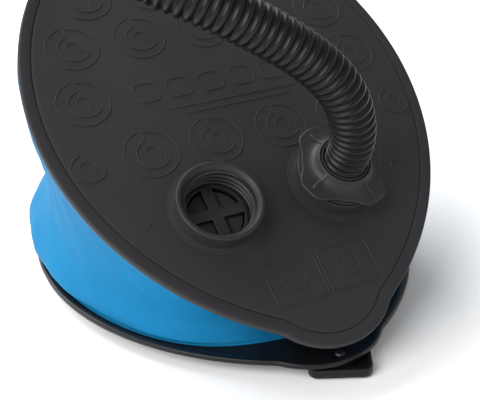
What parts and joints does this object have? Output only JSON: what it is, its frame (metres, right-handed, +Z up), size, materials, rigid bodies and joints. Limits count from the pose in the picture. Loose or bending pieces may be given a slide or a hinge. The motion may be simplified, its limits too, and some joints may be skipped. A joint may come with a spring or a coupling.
{
  "type": "foot bellows pump",
  "caption": "Wedge-shaped foot pump: hinged tread plates, a fabric bellows, threaded air ports and a corrugated hose with a lobed nut and tapered nozzle.",
  "frame": {"origin": "middle of the pump's footprint on the floor, hose left out", "axes": "+Z up, +Y from the hinged nose towards the wide end, +X to the right seen from the nose"},
  "size_m": [0.2524, 0.6133, 0.2287],
  "materials": {
    "shell_plastic": "moulded charcoal black, fine grain with a soft sheen",
    "inner_plastic": "plain black moulding",
    "fabric": "bright blue coated plain-weave nylon",
    "hose_vinyl": "black corrugated vinyl, satin gloss on the ribs",
    "rubber": "black rubber",
    "steel": "zinc plated"
  },
  "bodies": {
    "base": {"base_plate": "shell_plastic", "base_clamp_ring": "inner_plastic", "bellows_sleeve": "fabric", "left_return_spring": "steel", "right_return_spring": "steel", "hinge_pin": "steel", "hinge_clip_left": "steel", "hinge_clip_right": "steel", "nose_tab_rivet": "steel", "rubber_foot_1": "rubber", "rubber_foot_2": "rubber", "rubber_foot_3": "rubber", "rubber_foot_4": "rubber", "base_screw_1": "steel", "base_screw_2": "steel", "base_screw_3": "steel", "base_screw_4": "steel", "base_screw_5": "steel", "base_screw_6": "steel", "hose": "hose_vinyl", "hose_end_cuff": "inner_plastic", "nozzle": "inner_plastic"},
    "tread": {"tread_plate": "shell_plastic", "tread_clamp_ring": "inner_plastic", "left_valve_seat": "inner_plastic", "right_valve_seat": "inner_plastic", "left_flap_pin": "inner_plastic", "right_flap_pin": "inner_plastic", "port_gasket": "rubber", "tread_screw_1": "steel", "tread_screw_2": "steel", "tread_screw_3": "steel", "tread_screw_4": "steel", "tread_screw_5": "steel", "tread_screw_6": "steel"},
    "left_flap": {"left_valve_flap": "rubber"},
    "right_flap": {"right_valve_flap": "rubber"},
    "hose_swivel": {"hose_swivel_sleeve": "inner_plastic"},
    "nut": {"hose_nut": "shell_plastic"},
    "nose_tab": {"nose_tab": "shell_plastic"}
  },
  "joints": [
    {"name": "tread_hinge", "type": "hinge", "parent": "base", "child": "tread", "pos_m": [0, -0.1227, 0.0171], "axis": [-1, 0, 0], "range_deg": [0, 35.8], "stiffness_Nm_per_rad": 10, "springref_deg": -20.05, "deforming": ["bellows_sleeve", "left_return_spring", "right_return_spring", "hose"]},
    {"name": "left_flap_lift", "type": "slide", "parent": "tread", "child": "left_flap", "axis": [0, 0.5906, -0.807], "range_m": [0, 0.0022], "stiffness_N_per_m": 40, "springref_m": -0.0008},
    {"name": "right_flap_lift", "type": "slide", "parent": "tread", "child": "right_flap", "axis": [0, -0.5906, 0.807], "range_m": [0, 0.0022], "stiffness_N_per_m": 40, "springref_m": -0.0008},
    {"name": "nut_lift", "type": "slide", "parent": "tread", "child": "hose_swivel", "axis": [0, -0.5906, 0.807], "range_m": [0, 0.007]},
    {"name": "nut_turn", "type": "hinge", "parent": "hose_swivel", "child": "nut", "pos_m": [0.032, -0.08971, 0.08462], "axis": [0, -0.5906, 0.807], "range_deg": [0, 720]},
    {"name": "nose_tab_swing", "type": "hinge", "parent": "base", "child": "nose_tab", "pos_m": [0, -0.14, 0.0035], "axis": [0, 0, 1], "range_deg": [-45, 60]}
  ],
  "couplings": [
    {"joint": "nut_lift", "follows": "nut_turn", "m_per_rad": 0.00055704}
  ]
}
